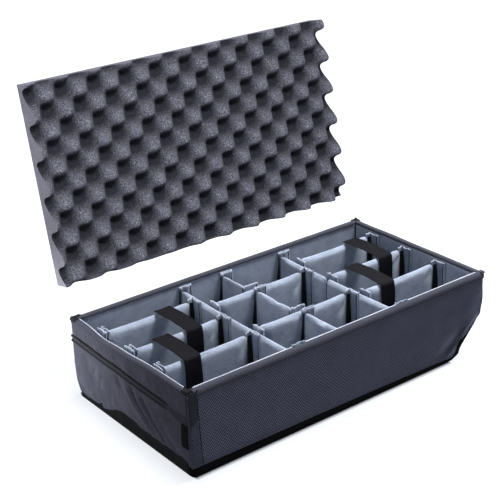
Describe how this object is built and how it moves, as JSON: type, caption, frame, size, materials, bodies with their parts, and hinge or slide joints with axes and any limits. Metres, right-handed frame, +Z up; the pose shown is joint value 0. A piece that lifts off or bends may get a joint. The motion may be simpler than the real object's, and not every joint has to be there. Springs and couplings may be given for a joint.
{
  "type": "padded case divider",
  "caption": "Soft-sided padded divider tray for a wheeled hard case, with hook-and-loop dividers, tie straps, a clipped wheel end and a convoluted lid foam shown open.",
  "frame": {"origin": "centre of the tray's flat bottom, under the middle of its outer length and width", "axes": "+X along the tray's length to the clipped wheel end, +Y to the back where the lid foam stands, +Z up"},
  "size_m": [0.75, 0.53, 0.617],
  "materials": {
    "loop_fabric": "brushed loop",
    "cover_fabric": "ribbed weave",
    "binding_tape": "ribbed tape",
    "webbing": "woven",
    "base_laminate": "coated, dull",
    "board_foam": "closed-cell foam",
    "convoluted_foam": "open-cell foam",
    "label_fabric": "woven, blank"
  },
  "bodies": {
    "tray": {"base_pan": "base_laminate", "outer_cover": "cover_fabric", "wall_foam_front": "board_foam", "wall_foam_back": "board_foam", "wall_foam_handle_end": "board_foam", "wall_foam_wheel_end": "board_foam", "floor_foam": "board_foam", "ramp_foam": "board_foam", "lining": "loop_fabric", "rim_binding": "binding_tape", "corner_strip_front": "binding_tape", "corner_strip_back": "binding_tape", "end_welt": "binding_tape", "side_label": "label_fabric"},
    "cross_left": {"cross_left": "loop_fabric", "cross_left_flap_front": "loop_fabric", "cross_left_flap_back": "loop_fabric"},
    "cross_right": {"cross_right": "loop_fabric", "cross_right_flap_front": "loop_fabric", "cross_right_flap_back": "loop_fabric"},
    "short_back": {"short_back": "loop_fabric", "short_back_flap_front": "loop_fabric", "short_back_flap_back": "loop_fabric"},
    "short_middle": {"short_middle": "loop_fabric", "short_middle_flap_front": "loop_fabric", "short_middle_flap_back": "loop_fabric"},
    "short_front": {"short_front": "loop_fabric", "short_front_flap_front": "loop_fabric", "short_front_flap_back": "loop_fabric"},
    "left_back": {"left_back": "loop_fabric", "left_back_flap_left": "loop_fabric", "left_back_flap_right": "loop_fabric"},
    "left_middle": {"left_middle": "loop_fabric", "left_middle_flap_left": "loop_fabric", "left_middle_flap_right": "loop_fabric"},
    "left_front": {"left_front": "loop_fabric", "left_front_flap_left": "loop_fabric", "left_front_flap_right": "loop_fabric"},
    "middle_back": {"middle_back": "loop_fabric", "middle_back_flap_left": "loop_fabric", "middle_back_flap_right": "loop_fabric"},
    "middle_front": {"middle_front": "loop_fabric", "middle_front_flap_left": "loop_fabric", "middle_front_flap_right": "loop_fabric"},
    "right_back": {"right_back": "loop_fabric", "right_back_flap_left": "loop_fabric", "right_back_flap_right": "loop_fabric"},
    "right_middle": {"right_middle": "loop_fabric", "right_middle_flap_left": "loop_fabric", "right_middle_flap_right": "loop_fabric"},
    "right_front": {"right_front": "loop_fabric", "right_front_flap_left": "loop_fabric", "right_front_flap_right": "loop_fabric"},
    "strap_left_back": {"strap_left_back": "webbing"},
    "strap_left_front": {"strap_left_front": "webbing"},
    "strap_right_back": {"strap_right_back": "webbing"},
    "strap_right_front": {"strap_right_front": "webbing"},
    "lid_foam": {"lid_foam": "convoluted_foam"}
  },
  "joints": [
    {"name": "lid_hinge", "type": "hinge", "parent": "tray", "child": "lid_foam", "pos_m": [0, 0.2225, 0.2002], "axis": [-1, 0, 0], "range_deg": [-101.9, 0]},
    {"name": "cross_left_lift", "type": "slide", "parent": "tray", "child": "cross_left", "axis": [0, 0, 1], "range_m": [0, 0.165]},
    {"name": "cross_right_lift", "type": "slide", "parent": "tray", "child": "cross_right", "axis": [0, 0, 1], "range_m": [0, 0.165]},
    {"name": "middle_back_lift", "type": "slide", "parent": "tray", "child": "middle_back", "axis": [0, 0, 1], "range_m": [0, 0.165]},
    {"name": "middle_front_lift", "type": "slide", "parent": "tray", "child": "middle_front", "axis": [0, 0, 1], "range_m": [0, 0.165]},
    {"name": "short_back_lift", "type": "slide", "parent": "tray", "child": "short_back", "axis": [0, 0, 1], "range_m": [0, 0.165]},
    {"name": "short_middle_lift", "type": "slide", "parent": "tray", "child": "short_middle", "axis": [0, 0, 1], "range_m": [0, 0.165]},
    {"name": "short_front_lift", "type": "slide", "parent": "tray", "child": "short_front", "axis": [0, 0, 1], "range_m": [0, 0.165]},
    {"name": "left_front_lift", "type": "slide", "parent": "tray", "child": "left_front", "axis": [0, 0, 1], "range_m": [0, 0.165]},
    {"name": "left_middle_lift", "type": "slide", "parent": "left_front", "child": "left_middle", "axis": [0, 0, 1], "range_m": [0, 0.165]},
    {"name": "left_back_lift", "type": "slide", "parent": "left_middle", "child": "left_back", "axis": [0, 0, 1], "range_m": [0, 0.165]},
    {"name": "right_front_lift", "type": "slide", "parent": "tray", "child": "right_front", "axis": [0, 0, 1], "range_m": [0, 0.165]},
    {"name": "right_middle_lift", "type": "slide", "parent": "right_front", "child": "right_middle", "axis": [0, 0, 1], "range_m": [0, 0.165]},
    {"name": "right_back_lift", "type": "slide", "parent": "right_middle", "child": "right_back", "axis": [0, 0, 1], "range_m": [0, 0.165]},
    {"name": "strap_left_back_peel", "type": "hinge", "parent": "left_back", "child": "strap_left_back", "pos_m": [-0.205, 0.1282, 0.1603], "axis": [-1, 0, 0], "range_deg": [0, 110]},
    {"name": "strap_left_front_peel", "type": "hinge", "parent": "left_middle", "child": "strap_left_front", "pos_m": [-0.275, 0.0322, 0.1603], "axis": [-1, 0, 0], "range_deg": [0, 110]},
    {"name": "strap_right_back_peel", "type": "hinge", "parent": "right_back", "child": "strap_right_back", "pos_m": [0.299, 0.1362, 0.1603], "axis": [-1, 0, 0], "range_deg": [0, 110]},
    {"name": "strap_right_front_peel", "type": "hinge", "parent": "right_middle", "child": "strap_right_front", "pos_m": [0.211, 0.0342, 0.1603], "axis": [-1, 0, 0], "range_deg": [0, 110]}
  ]
}
